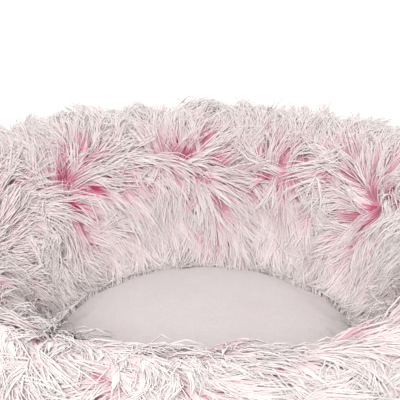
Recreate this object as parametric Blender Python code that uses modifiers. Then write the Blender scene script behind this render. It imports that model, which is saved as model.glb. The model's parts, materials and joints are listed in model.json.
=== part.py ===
"""Round pet bed: a long-pile fur rim on a zipped base, with a loose plush cushion in its well.

Metres, +Z up. The origin is at the centre of the base, on the floor. +Y is the back, where the
cover's zip runs. The rim, the cushion and their skins are turned about +Z.
"""

import math

import bmesh
import bpy
from mathutils import Vector

# The whole bed, over the pile as it lies pressed together.
BED_WIDTH = 0.580
BED_HEIGHT = 0.182
WELL_MOUTH_WIDTH = 0.272
WIDEST_HEIGHT = 0.088
RIM_FULLNESS = 2.4

# The rim's cover, its liner and their seams.
PILE_DEPTH = 0.014
CLUMP_DEPTH = 0.010
COVER_HEM = 0.0015
BASE_OVERHANG = 0.026
WELL_OVERHANG = 0.010
LINER_CLOTH = 0.0010
LINER_FULLNESS = 2.0
LINER_OUTER_TUCK = 0.055
LINER_INNER_TUCK = 0.029
LINER_SLIT = 0.006
TUCK_SWEEP = math.radians(55)

# The base, from the floor up.
BASE_CLOTH = 0.0020
BASE_PADDING = 0.0084
WELL_CLOTH = 0.0010
SIDE_BAND_HEIGHT = 0.0277
SIDE_BAND_CLOTH = 0.0010
PIPING_RADIUS = 0.0022

# The cushion.
CUSHION_PLAY = 0.009
CUSHION_DRAW_IN = 0.0095
CUSHION_BOTTOM_ROUND = 0.0055
CUSHION_FOOT_HEIGHT = 0.0047
CUSHION_BAND_HEIGHT = 0.0177
CUSHION_LOWER_BULGE = 0.020
CUSHION_CROWN = 0.033
CUSHION_FULLNESS = 2.4
CUSHION_PLUSH = 0.0040
CUSHION_CLOTH = 0.0010
CUSHION_LINER_CLOTH = 0.0008
CUSHION_LINER_TUCK = 0.0030
FILL_SLOT_WIDTH = 0.060
FILL_SLOT_HEIGHT = 0.008
FILL_SLOT_DEPTH = 0.0095

# Clearances, overruns and the distance under which points are one.
SEAM_GAP = 0.0003
RUNNING_GAP = 0.0003
CUT_OVERRUN = 0.002
WELD_DISTANCE = 0.00001

# How finely round shapes are cut.
RIM_TURN_STEPS = 48
CUSHION_TURN_STEPS = 40
ARC_STEP = math.radians(3.75)
CROWN_STEPS = 4
HIDDEN_STEPS = 3
PILE_STEPS = 8
PILE_CUTS = 2
BAIL_STEPS = 6

# The long pile stands in clumps, where waves over its face cross. Each wave has its count round the rim, its
# count over the section, the share of a wave that it starts at, and its strength.
CLUMP_WAVE_SHARES = (
    (28, 0, 0.24, 0.5), (16, 8, 0.18, 0.5), (-12, 8, 0.25, 0.5), (4, 2, 0.62, 0.3), (-8, 3, 0.75, 0.3),
)
CLUMP_GAIN = 1.5

# The two zips. Angles run anticlockwise from +X, and each zip is centred on the back.
COVER_ZIP = dict(
    arc=math.radians(112.5),
    bead_radius=0.0014,
    bead_gap=0.0012,
    web=0.0006,
    tail=0.012,
    stop_length=0.0025,
    stop_reach=0.0016,
    stop_proud=0.0006,
    plate=0.0011,
    lip=0.0009,
    slider_length=0.013,
    slider_corner=0.0022,
    bail_span=0.0062,
    bail_wire=0.0006,
    pull_bar=0.0010,
    pull_thickness=0.0012,
    pull_length=0.022,
    pull_width=0.0066,
    pull_side=0.0016,
    pull_corner=0.0016,
    pull_window=0.0056,
)
CUSHION_ZIP = dict(
    arc=math.radians(112.5),
    bead_radius=0.0010,
    bead_gap=0.0012,
    web=0.0006,
    tail=0.009,
    stop_length=0.0022,
    stop_reach=0.0013,
    stop_proud=0.0005,
    plate=0.0009,
    lip=0.0008,
    slider_length=0.010,
    slider_corner=0.0016,
    bail_span=0.0050,
    bail_wire=0.0005,
    pull_bar=0.0008,
    pull_thickness=0.0010,
    pull_length=0.013,
    pull_width=0.0054,
    pull_side=0.0013,
    pull_corner=0.0013,
    pull_window=0.0048,
)
ZIP_CENTRE = math.radians(90)
BAIL_FULLNESS = 2.6

# Colour, roughness and metallic value of each kind of material.
FUR = (0.76, 0.66, 0.69, 0.95, 0.0)
PLUSH = (0.74, 0.67, 0.68, 0.90, 0.0)
BASE_OXFORD = (0.52, 0.47, 0.49, 0.75, 0.0)
TRIM_CLOTH = (0.66, 0.55, 0.58, 0.80, 0.0)
LINING = (0.80, 0.79, 0.78, 0.90, 0.0)
FIBRE = (0.88, 0.88, 0.87, 0.95, 0.0)
ZIP_TAPE = (0.70, 0.60, 0.63, 0.80, 0.0)
ZIP_COIL = (0.72, 0.62, 0.65, 0.40, 0.0)
ZIP_METAL = (0.62, 0.62, 0.64, 0.30, 1.0)

# Sizes that follow from the ones above.
RIM_OUT = BED_WIDTH / 2
RIM_IN = WELL_MOUTH_WIDTH / 2
RIM_MIDDLE = (RIM_OUT + RIM_IN) / 2
BASE_RADIUS = RIM_OUT - BASE_OVERHANG
WELL_HEM_RADIUS = RIM_IN + WELL_OVERHANG
PADDING_LOW = BASE_CLOTH + SEAM_GAP
WELL_CLOTH_LOW = PADDING_LOW + BASE_PADDING + SEAM_GAP
WELL_FLOOR = WELL_CLOTH_LOW + WELL_CLOTH
BAND_LOW = BASE_CLOTH + SEAM_GAP
BAND_TOP = BAND_LOW + SIDE_BAND_HEIGHT
COVER_HEM_HEIGHT = BAND_TOP + SEAM_GAP
CUSHION_RADIUS = RIM_IN - CUSHION_PLAY
CUSHION_WAIST = CUSHION_RADIUS - CUSHION_DRAW_IN
CUSHION_LOW = WELL_FLOOR + SEAM_GAP
CUSHION_BAND_LOW = CUSHION_LOW + CUSHION_FOOT_HEIGHT + SEAM_GAP
CUSHION_BAND_TOP = CUSHION_BAND_LOW + CUSHION_BAND_HEIGHT
CUSHION_SEAM = CUSHION_BAND_TOP + SEAM_GAP
CUSHION_WIDEST = CUSHION_SEAM + CUSHION_LOWER_BULGE


def new_collection(name):
    """A collection linked to the scene."""
    collection = bpy.data.collections.new(name)
    bpy.context.scene.collection.children.link(collection)
    return collection


def material(name, look):
    """A Principled material from a colour, roughness and metallic value."""
    red, green, blue, roughness, metallic = look
    made = bpy.data.materials.new(name)
    made.use_nodes = True
    shader = made.node_tree.nodes["Principled BSDF"]
    shader.inputs["Base Color"].default_value = (red, green, blue, 1.0)
    shader.inputs["Roughness"].default_value = roughness
    shader.inputs["Metallic"].default_value = metallic
    return made


def add_object(name, data, look, collection):
    """An object in a collection, with a material of its own."""
    made = bpy.data.objects.new(name, data)
    collection.objects.link(made)
    if look:
        data.materials.append(material(name, look))
    return made


def quadrant(middle, reach, fullness, steps):
    """Points of a quarter of a superellipse, from its side (reach[0]) to its end (reach[1])."""
    points = []
    for step in range(steps + 1):
        turn = math.pi / 2 * step / steps
        across = math.cos(turn) ** (2 / fullness) if step < steps else 0.0
        along = math.sin(turn) ** (2 / fullness)
        points.append((middle[0] + reach[0] * across, middle[1] + reach[1] * along))
    return points


def tucked_side(widest, hem, steps):
    """Points of an arc from the widest place, where it is upright, in to a hem."""
    points = []
    for step in range(steps + 1):
        turn = TUCK_SWEEP * step / steps
        inward_share = (1 - math.cos(turn)) / (1 - math.cos(TUCK_SWEEP))
        down_share = math.sin(turn) / math.sin(TUCK_SWEEP)
        radius = widest[0] + (hem[0] - widest[0]) * inward_share
        points.append((radius, widest[1] + (hem[1] - widest[1]) * down_share))
    return points


def inset(profile, distance):
    """A profile moved inward. An end on the axis stays on it, and another end moves level."""
    moved = []
    for at, (radius, height) in enumerate(profile):
        normals = []
        for start, end in zip(profile[max(at - 1, 0) : at + 1], profile[max(at, 1) : at + 2]):
            length = math.dist(start, end)
            normals.append(((end[1] - start[1]) / length, (start[0] - end[0]) / length))
        across = sum(normal[0] for normal in normals)
        along = sum(normal[1] for normal in normals)
        if len(normals) == 2:
            stretch = 1 + normals[0][0] * normals[1][0] + normals[0][1] * normals[1][1]
            moved.append((radius + distance * across / stretch, height + distance * along / stretch))
        elif radius == 0:
            moved.append((radius, height + distance / along))
        else:
            moved.append((radius + distance / across, height))
    return moved


def crown_over(outer, inner, crown, steps):
    """The rim's upper section, from its inner side over the crown to its outer side."""
    up = crown - WIDEST_HEIGHT
    inner_side = quadrant((RIM_MIDDLE, WIDEST_HEIGHT), (inner - RIM_MIDDLE, up), RIM_FULLNESS, steps)
    outer_side = quadrant((RIM_MIDDLE, WIDEST_HEIGHT), (outer - RIM_MIDDLE, up), RIM_FULLNESS, steps)
    return inner_side + outer_side[::-1][1:]


def turned(name, profiles, turn_steps, look, collection, closed=False):
    """Profiles of (radius, height) points turned about +Z. Each runs down its outer side."""
    mesh = bpy.data.meshes.new(name)
    places, edges = [], []
    for profile in profiles:
        first, count = len(places), len(profile)
        places += [(radius, 0.0, height) for radius, height in profile]
        edges += [(first + at, first + at + 1) for at in range(count - 1)]
        if closed:
            edges.append((first + count - 1, first))
    mesh.from_pydata(places, edges, [])
    made = add_object(name, mesh, look, collection)
    screw = made.modifiers.new("Screw", "SCREW")
    screw.axis = "Z"
    screw.angle = math.tau
    screw.steps = turn_steps
    screw.render_steps = turn_steps
    screw.use_merge_vertices = True
    screw.merge_threshold = WELD_DISTANCE
    screw.use_smooth_shade = True
    return made


def disc(name, radius, low, high, look, collection):
    """A flat round panel."""
    profile = [(0.0, high), (radius, high), (radius, low), (0.0, low)]
    return turned(name, [profile], RIM_TURN_STEPS, look, collection)


def flat_outline(name, outlines, depth, look, collection):
    """A flat shape in its own XY plane, with half of its depth on each side."""
    curve = bpy.data.curves.new(name, "CURVE")
    curve.dimensions = "2D"
    curve.fill_mode = "BOTH"
    curve.extrude = depth / 2
    for outline in outlines:
        spline = curve.splines.new("POLY")
        spline.points.add(len(outline) - 1)
        for point, (across, along) in zip(spline.points, outline):
            point.co = (across, along, 0.0, 1.0)
        spline.use_cyclic_u = True
    return add_object(name, curve, look, collection)


def arc_angles(start, end):
    """Angles from start to end, in steps of about ARC_STEP."""
    count = max(2, round((end - start) / ARC_STEP))
    return [start + (end - start) * at / count for at in range(count + 1)]


def arc_wall(name, radius, thickness, span, angles, look, collection):
    """A thin upright wall along an arc. Radius is its outer face, span its low and high edge."""
    inside = radius - thickness
    outline = [(radius * math.cos(a), radius * math.sin(a)) for a in angles]
    outline += [(inside * math.cos(a), inside * math.sin(a)) for a in reversed(angles)]
    made = flat_outline(name, [outline], span[1] - span[0], look, collection)
    made.location = (0.0, 0.0, (span[0] + span[1]) / 2)
    return made


def tube(name, points, radius, look, collection, closed=False):
    """A round tube along points."""
    curve = bpy.data.curves.new(name, "CURVE")
    curve.dimensions = "3D"
    curve.bevel_depth = radius
    curve.bevel_resolution = 1
    curve.use_fill_caps = not closed
    spline = curve.splines.new("POLY")
    spline.points.add(len(points) - 1)
    for point, place in zip(spline.points, points):
        point.co = (*place, 1.0)
    spline.use_cyclic_u = closed
    return add_object(name, curve, look, collection)


def as_mesh(made):
    """Replaces a curve object with the mesh that it shows, its caps welded on."""
    bpy.context.view_layer.update()
    shown = made.evaluated_get(bpy.context.evaluated_depsgraph_get())
    mesh = bpy.data.meshes.new_from_object(shown)
    work = bmesh.new()
    work.from_mesh(mesh)
    bmesh.ops.remove_doubles(work, verts=work.verts, dist=WELD_DISTANCE)
    work.to_mesh(mesh)
    work.free()
    name, place, home = made.name, made.matrix_world.copy(), made.users_collection[0]
    bpy.data.objects.remove(made)
    solid = bpy.data.objects.new(name, mesh)
    home.objects.link(solid)
    solid.matrix_world = place
    return solid


def boolean(made, cutter, operation):
    """Joins, cuts or trims a mesh with another object."""
    cutter.hide_render = True
    cutter.display_type = "WIRE"
    modifier = made.modifiers.new(operation.title(), "BOOLEAN")
    modifier.operation = operation
    modifier.solver = "EXACT"
    modifier.object = cutter


def empty(name, collection, parent=None):
    """A point at the origin that carries pieces which move together."""
    made = bpy.data.objects.new(name, None)
    collection.objects.link(made)
    made.parent = parent
    return made


def valley_share(round_share, over_share):
    """How deep a place on the pile's face lies between its clumps, from 0 on a clump to 1."""
    level, whole = 0.0, 0.0
    for round_count, over_count, start, strength in CLUMP_WAVE_SHARES:
        level += strength * math.sin(math.tau * (round_count * round_share + over_count * over_share + start))
        whole += strength
    return (1 - max(-1.0, min(1.0, CLUMP_GAIN * level / whole))) / 2


def clumped_skin(name, face, backing, look, collection):
    """A turned skin whose face, more finely cut than its backing, sinks between clumps. Both end at the same hems."""
    deep, last, fine = inset(face, CLUMP_DEPTH), len(face) - 1, RIM_TURN_STEPS * PILE_CUTS
    work = bmesh.new()

    def on_turn(place, step):
        turn = math.tau * step / RIM_TURN_STEPS
        return Vector((place[0] * math.cos(turn), place[0] * math.sin(turn), place[1]))

    rows = []
    for row, (high, low) in enumerate(zip(face, deep)):
        fade, ring = min(1.0, row / HIDDEN_STEPS, (last - row) / HIDDEN_STEPS), []
        for column in range(fine):
            sunk = fade * valley_share(column / fine, row / last)
            place = tuple(start + (end - start) * sunk for start, end in zip(high, low))
            step, part = divmod(column, PILE_CUTS)
            ring.append(work.verts.new(on_turn(place, step).lerp(on_turn(place, step + 1), part / PILE_CUTS)))
        rows.append(ring)
    backs = [[work.verts.new(on_turn(place, step)) for step in range(RIM_TURN_STEPS)] for place in backing]
    for lower, upper in zip(rows, rows[1:]):
        for column in range(fine):
            after = (column + 1) % fine
            work.faces.new((lower[column], lower[after], upper[after]))
            work.faces.new((lower[column], upper[after], upper[column]))
    for lower, upper in zip(backs, backs[1:]):
        for step in range(RIM_TURN_STEPS):
            after = (step + 1) % RIM_TURN_STEPS
            work.faces.new((lower[step], upper[step], upper[after], lower[after]))
    for front, back in ((rows[0], backs[0]), (rows[last], backs[-1])):
        for step in range(RIM_TURN_STEPS):
            hem = [front[(step * PILE_CUTS + cut) % fine] for cut in range(PILE_CUTS + 1)]
            work.faces.new([back[step]] + hem + [back[(step + 1) % RIM_TURN_STEPS]])
    bmesh.ops.recalc_face_normals(work, faces=work.faces)
    mesh = bpy.data.meshes.new(name)
    work.to_mesh(mesh)
    work.free()
    return add_object(name, mesh, look, collection)


def make_rim(parts):
    """The fur cover, the liner tube inside it and the fibre ring inside that."""
    outer_hem = (BASE_RADIUS, COVER_HEM_HEIGHT)
    well_hem = (WELL_HEM_RADIUS, WELL_CLOTH_LOW)
    pile = tucked_side((RIM_IN, WIDEST_HEIGHT), well_hem, HIDDEN_STEPS)[::-1]
    pile += crown_over(RIM_OUT, RIM_IN, BED_HEIGHT, PILE_STEPS)[1:]
    pile += tucked_side((RIM_OUT, WIDEST_HEIGHT), outer_hem, HIDDEN_STEPS)[1:]
    back_out, back_in = RIM_OUT - PILE_DEPTH, RIM_IN + PILE_DEPTH
    outer_hem_back = (BASE_RADIUS - COVER_HEM, COVER_HEM_HEIGHT)
    well_hem_back = (WELL_HEM_RADIUS + COVER_HEM, WELL_CLOTH_LOW)
    backing = tucked_side((back_in, WIDEST_HEIGHT), well_hem_back, HIDDEN_STEPS)[::-1]
    backing += crown_over(back_out, back_in, BED_HEIGHT - PILE_DEPTH, HIDDEN_STEPS)[1:]
    backing += tucked_side((back_out, WIDEST_HEIGHT), outer_hem_back, HIDDEN_STEPS)[1:]
    clumped_skin("fur_cover", pile, backing, FUR, parts)

    def inside(distance):
        """The section this far inside the cover's backing, resting on the base cloth."""
        outer, inner = back_out - distance, back_in + distance
        foot_out, foot_in = BASE_RADIUS - LINER_OUTER_TUCK, WELL_HEM_RADIUS + LINER_INNER_TUCK
        down, steps = BASE_CLOTH + distance - WIDEST_HEIGHT, HIDDEN_STEPS
        out_low = quadrant((foot_out, WIDEST_HEIGHT), (outer - foot_out, down), LINER_FULLNESS, steps)
        in_low = quadrant((foot_in, WIDEST_HEIGHT), (inner - foot_in, down), LINER_FULLNESS, steps)
        over = crown_over(outer, inner, BED_HEIGHT - PILE_DEPTH - distance, steps)
        return in_low[::-1] + over[1:] + out_low[1:]

    shell = []
    for face in (inside(SEAM_GAP), inside(SEAM_GAP + LINER_CLOTH)[::-1]):
        middle = (face[0][0] + face[-1][0]) / 2
        half = math.copysign(LINER_SLIT / 2, face[-1][0] - face[0][0])
        shell += [(middle - half, face[0][1])] + face + [(middle + half, face[-1][1])]
    turned("rim_liner", [shell], RIM_TURN_STEPS, LINING, parts, closed=True)
    fill = inside(2 * SEAM_GAP + LINER_CLOTH)
    turned("rim_fill", [fill], RIM_TURN_STEPS, FIBRE, parts, closed=True)


def make_base(parts):
    """The base cloth, its piping, the padding and the cloth floor of the well."""
    disc("base_cloth", BASE_RADIUS, 0.0, BASE_CLOTH, BASE_OXFORD, parts)
    inner = WELL_HEM_RADIUS - SEAM_GAP
    disc("base_padding", inner, PADDING_LOW, PADDING_LOW + BASE_PADDING, FIBRE, parts)
    disc("well_floor_cloth", inner, WELL_CLOTH_LOW, WELL_FLOOR, LINING, parts)
    circle = BASE_RADIUS + SEAM_GAP + PIPING_RADIUS
    turns = arc_angles(0.0, math.tau)[:-1]
    places = [(circle * math.cos(a), circle * math.sin(a), PIPING_RADIUS) for a in turns]
    tube("base_piping", places, PIPING_RADIUS, TRIM_CLOTH, parts, closed=True)


def make_cushion(parts, cutters):
    """The plush top, the underside cloth, the liner bag and the fibre inside it."""

    def upper(side, waist, crown, steps):
        """The crown from the axis to the widest place, then in to the seam."""
        over = quadrant((0.0, CUSHION_WIDEST), (side, crown), CUSHION_FULLNESS, steps)
        below = tucked_side((side, CUSHION_WIDEST), (waist, CUSHION_SEAM), HIDDEN_STEPS)
        return over[::-1] + below[1:]

    def lower(waist, top, corner, low):
        """The rounding from an upright side down to the flat underside, then the axis."""
        reach = (waist - corner, low - top)
        return quadrant((corner, top), reach, CUSHION_FULLNESS, HIDDEN_STEPS) + [(0.0, low)]

    plush = upper(CUSHION_RADIUS, CUSHION_WAIST, CUSHION_CROWN, CROWN_STEPS + HIDDEN_STEPS)
    lining_side = CUSHION_RADIUS - CUSHION_PLUSH
    lining_crown = CUSHION_CROWN - CUSHION_PLUSH
    lining = upper(lining_side, CUSHION_WAIST - CUSHION_CLOTH, lining_crown, HIDDEN_STEPS)
    turns = CUSHION_TURN_STEPS
    top = turned("cushion_top", [plush + lining[::-1]], turns, PLUSH, parts)

    foot = CUSHION_LOW + CUSHION_FOOT_HEIGHT
    corner = CUSHION_WAIST - CUSHION_BOTTOM_ROUND
    outside = lower(CUSHION_WAIST, foot, corner, CUSHION_LOW)
    inside = inset(outside, CUSHION_CLOTH)
    underside = turned("cushion_underside", [inside[::-1] + outside], turns, BASE_OXFORD, parts)

    bag_waist = CUSHION_WAIST - CUSHION_LINER_TUCK
    bag_side, bag_crown = lining_side - SEAM_GAP, lining_crown - SEAM_GAP
    bag = upper(bag_side, bag_waist, bag_crown, HIDDEN_STEPS)
    bag_low = CUSHION_LOW + CUSHION_CLOTH + SEAM_GAP
    bag += lower(bag_waist, CUSHION_BAND_LOW, corner - CUSHION_LINER_TUCK, bag_low)
    bag_inside = inset(bag, CUSHION_LINER_CLOTH)
    liner = turned("cushion_liner", [bag, bag_inside[::-1]], turns, LINING, parts)
    bpy.ops.mesh.primitive_cube_add(size=1.0)
    slot = bpy.context.object
    slot.name = "fill_slot_cutter"
    slot.scale = (FILL_SLOT_WIDTH, FILL_SLOT_DEPTH, FILL_SLOT_HEIGHT)
    slot.location = (0.0, -bag_waist, (CUSHION_BAND_LOW + CUSHION_BAND_TOP) / 2)
    slot.users_collection[0].objects.unlink(slot)
    cutters.objects.link(slot)
    boolean(liner, slot, "DIFFERENCE")
    fill = turned("cushion_fill", [inset(bag_inside, SEAM_GAP)], turns, FIBRE, parts)
    return [top, underside, liner, slot, fill]


def slider_outline(zip_sizes, cloth):
    """The slider's section across the chain: two lipped plates joined by a web."""
    bead, proud = zip_sizes["bead_radius"], zip_sizes["plate"]
    channel = bead + RUNNING_GAP
    row_edge = zip_sizes["bead_gap"] / 2 + 2 * bead + RUNNING_GAP
    slot, rim = cloth / 2 + RUNNING_GAP, row_edge + zip_sizes["lip"]
    web = zip_sizes["web"] / 2
    corner = [(channel + proud, rim), (slot, rim), (slot, row_edge), (channel, row_edge), (channel, web)]
    left = [(-across, along) for across, along in corner[::-1]]
    upper = corner + left
    return upper + [(across, -along) for across, along in upper[::-1]]


def slider_plan(zip_sizes, half_width):
    """The slider seen from outside: cut corners where the open rows enter, a taper behind."""
    half, cut = zip_sizes["slider_length"] / 2, zip_sizes["slider_corner"]
    upper = [
        (-half, half_width - cut),
        (-half + cut, half_width),
        (0.0, half_width),
        (half, half_width - cut / 2),
    ]
    return upper + [(along, -across) for along, across in upper[::-1]]


def stop_outline(zip_sizes, cloth, joined):
    """A metal stop's section, clasping one tape's edge or, where joined, both edges."""
    edge = zip_sizes["bead_gap"] / 2 + 2 * zip_sizes["bead_radius"] + SEAM_GAP
    half, slot = zip_sizes["bead_radius"] + zip_sizes["stop_proud"], cloth / 2 + SEAM_GAP
    reach = edge + zip_sizes["stop_reach"]
    clasp = [(half, reach), (slot, reach), (slot, edge - SEAM_GAP)]
    upper = clasp + [(-across, along) for across, along in clasp[::-1]]
    if joined:
        return upper + [(across, -along) for across, along in upper[::-1]]
    return upper + [(-half, zip_sizes["bead_gap"] / 2), (half, zip_sizes["bead_gap"] / 2)]


def on_arc(made, radius, angle, height):
    """Stands a flat outline across the chain, its X axis outward and its Y axis up."""
    made.location = (radius * math.cos(angle), radius * math.sin(angle), height)
    made.rotation_euler = (math.pi / 2, 0.0, angle)


def make_slider(prefix, zip_sizes, radius, cloth, height, carrier, parts, cutters):
    """The slider and its pull, on an empty that turns about +Z."""
    outline = slider_outline(zip_sizes, cloth)
    slider = flat_outline(
        f"{prefix}_zip_slider", [outline], zip_sizes["slider_length"], ZIP_METAL, parts
    )
    slider = as_mesh(slider)
    slider.parent = carrier
    on_arc(slider, radius, 0.0, height)
    plate_out, half_width = outline[0]

    plan = slider_plan(zip_sizes, half_width)
    trim = flat_outline(f"{prefix}_slider_trim", [plan], 2 * (plate_out + CUT_OVERRUN), None, cutters)
    trim = as_mesh(trim)
    trim.parent = slider
    trim.rotation_euler = (0.0, math.pi / 2, 0.0)
    boolean(slider, trim, "INTERSECT")

    bar_turn = math.hypot(zip_sizes["pull_bar"], zip_sizes["pull_thickness"]) / 2
    pivot = plate_out + RUNNING_GAP + bar_turn
    wire, half_span = zip_sizes["bail_wire"], zip_sizes["bail_span"] / 2
    arch_top = pivot + bar_turn + RUNNING_GAP + wire
    arch = [(plate_out - wire, 0.0, -half_span)]
    for at in range(BAIL_STEPS + 1):
        turn = math.pi * at / BAIL_STEPS
        rise = plate_out + (arch_top - plate_out) * math.sin(turn) ** (2 / BAIL_FULLNESS)
        side = math.copysign(abs(math.cos(turn)) ** (2 / BAIL_FULLNESS), -math.cos(turn))
        arch.append((rise, 0.0, half_span * side))
    arch.append((plate_out - wire, 0.0, half_span))
    bail = as_mesh(tube(f"{prefix}_slider_bail", arch, wire, None, cutters))
    bail.parent = slider
    boolean(slider, bail, "UNION")

    bar, half_width = zip_sizes["pull_bar"] / 2, zip_sizes["pull_width"] / 2
    far = zip_sizes["pull_length"] - bar
    side, cut = zip_sizes["pull_side"], zip_sizes["pull_corner"]
    plate = [
        (-bar, -half_width),
        (far - cut, -half_width),
        (far, -half_width + cut),
        (far, half_width - cut),
        (far - cut, half_width),
        (-bar, half_width),
    ]
    window_end = bar + zip_sizes["pull_window"]
    window = [
        (bar, -half_width + side),
        (bar, half_width - side),
        (window_end, half_width - side),
        (window_end, -half_width + side),
    ]
    pull = flat_outline(
        f"{prefix}_zip_pull", [plate, window], zip_sizes["pull_thickness"], ZIP_METAL, parts
    )
    pull.parent = carrier
    pull.location = (radius + pivot, 0.0, height)
    pull.rotation_euler = (math.pi / 2, 0.0, -math.pi / 2)


def make_zip(prefix, zip_sizes, radius, cloth, span, carrier, parts, cutters):
    """A side band along an arc, and a zip in the opening that the band leaves."""
    start, end = ZIP_CENTRE - zip_sizes["arc"] / 2, ZIP_CENTRE + zip_sizes["arc"] / 2
    seam = SEAM_GAP / radius
    height = (span[0] + span[1]) / 2
    made = []
    band_angles = arc_angles(end + seam, start + math.tau - seam)
    made.append(arc_wall(f"{prefix}_side_band", radius, cloth, span, band_angles, TRIM_CLOTH, parts))

    bead = zip_sizes["bead_radius"]
    row = zip_sizes["bead_gap"] / 2 + bead
    tape_edge = row + bead + SEAM_GAP
    middle = radius - cloth / 2
    tape_angles = arc_angles(start + seam, end - seam)
    stop_turn = zip_sizes["stop_length"] / middle
    low_stop = start + zip_sizes["tail"] / middle + stop_turn / 2
    high_stop = end - zip_sizes["tail"] / middle - stop_turn / 2
    bead_angles = arc_angles(low_stop + stop_turn / 2 + seam, high_stop - stop_turn / 2 - seam)
    rows = {
        "upper": (1, (height + tape_edge, span[1])),
        "lower": (-1, (span[0], height - tape_edge)),
    }
    for name, (side, tape_span) in rows.items():
        tape_name = f"{prefix}_zip_tape_{name}"
        made.append(arc_wall(tape_name, radius, cloth, tape_span, tape_angles, ZIP_TAPE, parts))
        level = height + side * row
        places = [(middle * math.cos(a), middle * math.sin(a), level) for a in bead_angles]
        made.append(tube(f"{prefix}_zip_coil_{name}", places, bead, ZIP_COIL, parts))
        outline = [(across, side * along) for across, along in stop_outline(zip_sizes, cloth, False)]
        stop_name = f"{prefix}_zip_top_stop_{name}"
        stop = flat_outline(stop_name, [outline], zip_sizes["stop_length"], ZIP_METAL, parts)
        on_arc(stop, middle, high_stop, height)
        made.append(stop)
    outline = stop_outline(zip_sizes, cloth, True)
    stop_name = f"{prefix}_zip_bottom_stop"
    stop = flat_outline(stop_name, [outline], zip_sizes["stop_length"], ZIP_METAL, parts)
    on_arc(stop, middle, low_stop, height)
    made.append(stop)

    for piece in made:
        piece.parent = carrier
    travel = empty(f"{prefix}_zip_travel", parts, carrier)
    parked = high_stop - (zip_sizes["stop_length"] + zip_sizes["slider_length"]) / 2 / middle
    travel.rotation_euler = (0.0, 0.0, parked - seam)
    make_slider(prefix, zip_sizes, middle, cloth, height, travel, parts, cutters)


def main():
    for made in list(bpy.data.objects):
        bpy.data.objects.remove(made)
    parts = new_collection("round_pet_bed")
    cutters = new_collection("cutters")
    make_rim(parts)
    make_base(parts)
    band = (BAND_LOW, BAND_TOP)
    make_zip("cover", COVER_ZIP, BASE_RADIUS, SIDE_BAND_CLOTH, band, None, parts, cutters)
    lift = empty("cushion_lift", parts)
    for piece in make_cushion(parts, cutters):
        piece.parent = lift
    band = (CUSHION_BAND_LOW, CUSHION_BAND_TOP)
    make_zip("cushion", CUSHION_ZIP, CUSHION_WAIST, CUSHION_CLOTH, band, lift, parts, cutters)


main()
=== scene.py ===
import json
import math

import bmesh
import bpy
import numpy as np
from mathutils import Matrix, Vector, bvhtree, kdtree

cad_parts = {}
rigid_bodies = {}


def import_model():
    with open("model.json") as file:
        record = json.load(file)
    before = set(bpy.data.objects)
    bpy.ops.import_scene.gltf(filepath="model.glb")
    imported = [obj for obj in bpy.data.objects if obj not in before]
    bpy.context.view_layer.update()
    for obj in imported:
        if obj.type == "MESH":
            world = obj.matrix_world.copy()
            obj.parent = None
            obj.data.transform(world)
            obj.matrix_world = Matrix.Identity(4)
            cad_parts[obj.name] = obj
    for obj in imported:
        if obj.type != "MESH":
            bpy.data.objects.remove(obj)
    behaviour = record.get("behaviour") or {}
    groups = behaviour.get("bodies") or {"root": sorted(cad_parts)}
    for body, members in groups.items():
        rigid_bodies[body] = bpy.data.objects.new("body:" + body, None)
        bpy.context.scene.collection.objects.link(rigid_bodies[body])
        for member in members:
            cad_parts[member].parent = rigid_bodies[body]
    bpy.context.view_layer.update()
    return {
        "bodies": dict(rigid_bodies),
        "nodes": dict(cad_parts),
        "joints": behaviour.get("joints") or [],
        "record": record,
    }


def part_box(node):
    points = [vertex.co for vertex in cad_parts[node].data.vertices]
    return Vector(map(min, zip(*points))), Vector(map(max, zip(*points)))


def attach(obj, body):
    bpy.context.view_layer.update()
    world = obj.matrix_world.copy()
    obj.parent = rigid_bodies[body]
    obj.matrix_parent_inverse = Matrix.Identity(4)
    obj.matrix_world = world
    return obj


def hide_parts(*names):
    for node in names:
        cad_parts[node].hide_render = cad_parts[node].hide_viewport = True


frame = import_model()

nodes = frame["nodes"]


def srgb(red, green, blue):
    # a colour as it is read off a screen, 0 to 255, in the linear values that a shader takes
    values = [c / 255 for c in (red, green, blue)]
    return tuple(c / 12.92 if c <= 0.04045 else ((c + 0.055) / 1.055) ** 2.4 for c in values) + (1.0,)


class Nodes:
    # short names for making and joining shader nodes in one tree
    def __init__(self, tree):
        self.tree = tree

    def add(self, kind, values=(), **settings):
        node = self.tree.nodes.new(kind)
        for key, value in settings.items():
            setattr(node, key, value)
        for at, value in enumerate(values):
            self.give(node.inputs[at], value)
        return node

    def give(self, socket, value):
        if hasattr(value, "is_output"):
            self.tree.links.new(value, socket)
        elif value is not None:
            socket.default_value = value

    def fill(self, node, values):
        for name, value in values.items():
            self.give(node.inputs[name], value)
        return node.outputs

    def math(self, operation, *values):
        return self.add("ShaderNodeMath", values, operation=operation).outputs[0]

    def noise(self, vector, scale, detail=2.0):
        node = self.add("ShaderNodeTexNoise")
        return self.fill(node, {"Vector": vector, "Scale": scale, "Detail": detail})["Fac"]

    def blend(self, share, first, second):
        node = self.add("ShaderNodeMix", data_type="RGBA")
        return self.fill(node, {"Factor": share, "A": first, "B": second})["Result"]

    def bump(self, strength, distance, height):
        node = self.add("ShaderNodeBump")
        return self.fill(node, {"Strength": strength, "Distance": distance, "Height": height})["Normal"]


def newMaterial(name):
    made = bpy.data.materials.new(name)
    made.use_nodes = True
    return made, Nodes(made.node_tree), made.node_tree.nodes["Principled BSDF"]


def placed(name, data):
    made = bpy.data.objects.new(name, data)
    bpy.context.scene.collection.objects.link(made)
    return made


def riding(mesh, material, body, replaced):
    # a mesh as a piece that rides on its body, with the solids it stands for
    made = placed(mesh.name, mesh)
    mesh.materials.append(material)
    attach(made, body)
    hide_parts(*replaced)
    return made


# camera, taken from the rim's outline and the cushion's far edge
view = {"elevation": 35.3, "distance": 0.8, "lens": 89.2, "aim": (-0.005, 0.201, 0.1)}

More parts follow.
